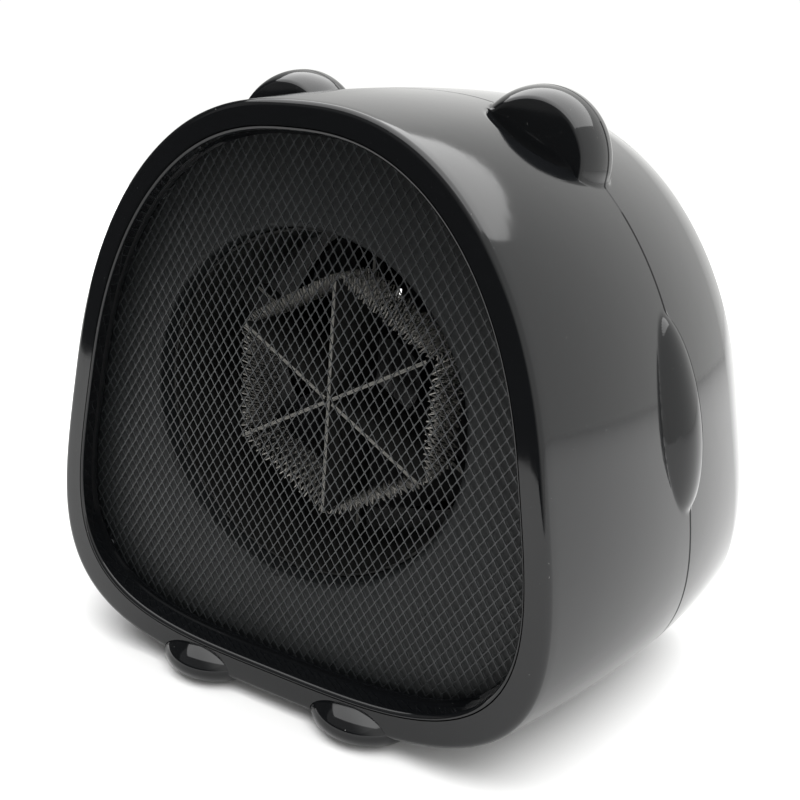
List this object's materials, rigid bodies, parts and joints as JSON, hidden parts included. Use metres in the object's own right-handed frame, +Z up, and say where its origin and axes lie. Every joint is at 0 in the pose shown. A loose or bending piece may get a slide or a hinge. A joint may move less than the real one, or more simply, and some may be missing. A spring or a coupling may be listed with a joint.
{
  "type": "fan heater",
  "caption": "Small bear-shaped fan heater with a mesh outlet, glossy two-part casing, wire element on crossed boards, axial fan and rear rocker switch.",
  "frame": {"origin": "bottom centre of the whole object's box, on the floor", "axes": "+Z up, the outlet faces -Y, +X is the right-hand side seen from the front"},
  "size_m": [0.1672, 0.128, 0.1414],
  "materials": {
    "gloss_black": "high gloss",
    "mesh": "satin dark grey paint",
    "duct": "matte blue-grey",
    "board": "matte mica board",
    "mica": "matte mica sheet",
    "wire": "bright resistance wire",
    "fan": "moulded",
    "steel": "bright",
    "zinc": "zinc plated",
    "brass": "turned",
    "rubber": "soft matte",
    "switch_black": "fine grain",
    "nylon": "natural nylon",
    "lead_brown": "soft sleeving",
    "lead_blue": "soft sleeving",
    "lead_white": "soft sleeving",
    "circuit": "glass-fibre board"
  },
  "bodies": {
    "heater": {"front_casing": "gloss_black", "rear_casing": "gloss_black", "mesh_grille": "mesh", "outlet_duct": "duct", "front_foot_left": "gloss_black", "front_foot_right": "gloss_black", "rear_foot_left": "rubber", "rear_foot_right": "rubber", "element_board_upright": "board", "element_board_rising": "board", "element_board_falling": "board", "heating_wire": "wire", "mica_liner": "mica", "motor_can": "zinc", "motor_end_cap": "nylon", "motor_bush_front": "brass", "motor_bush_rear": "brass", "motor_bracket": "zinc", "rocker_switch_body": "switch_black", "cord_gland": "rubber", "cord_clamp": "nylon", "tilt_switch_housing": "nylon", "tilt_switch_cap": "nylon", "circuit_board": "circuit", "bridge_rectifier": "switch_black", "terminal_block": "nylon", "thermostat": "steel", "thermal_fuse": "nylon", "lead_supply": "lead_brown", "lead_switch": "lead_brown", "lead_neutral": "lead_blue", "lead_element": "lead_white", "lead_motor": "lead_white", "bracket_screw_1": "zinc", "bracket_screw_2": "zinc", "bracket_screw_3": "zinc", "motor_screw_1": "zinc", "motor_screw_2": "zinc", "duct_screw_1": "zinc", "case_screw_1": "zinc", "duct_screw_2": "zinc", "case_screw_2": "zinc", "duct_screw_3": "zinc", "case_screw_3": "zinc", "duct_screw_4": "zinc", "case_screw_4": "zinc"},
    "fan": {"fan_impeller": "fan", "motor_shaft": "steel", "motor_rotor": "steel"},
    "rocker": {"rocker_switch_rocker": "switch_black"},
    "tilt_ball": {"tilt_switch_ball": "steel"}
  },
  "joints": [
    {"name": "fan_spin", "type": "hinge", "parent": "heater", "child": "fan", "pos_m": [0, -0.0099, 0.0696], "axis": [0, 1, 0], "continuous": true},
    {"name": "rocker_tilt", "type": "hinge", "parent": "heater", "child": "rocker", "pos_m": [0, 0.0493, 0.0236], "axis": [0, 0, 1], "range_deg": [0, 20]},
    {"name": "tilt_ball_lift", "type": "slide", "parent": "heater", "child": "tilt_ball", "axis": [0, 0, 1], "range_m": [0, 0.004]}
  ]
}
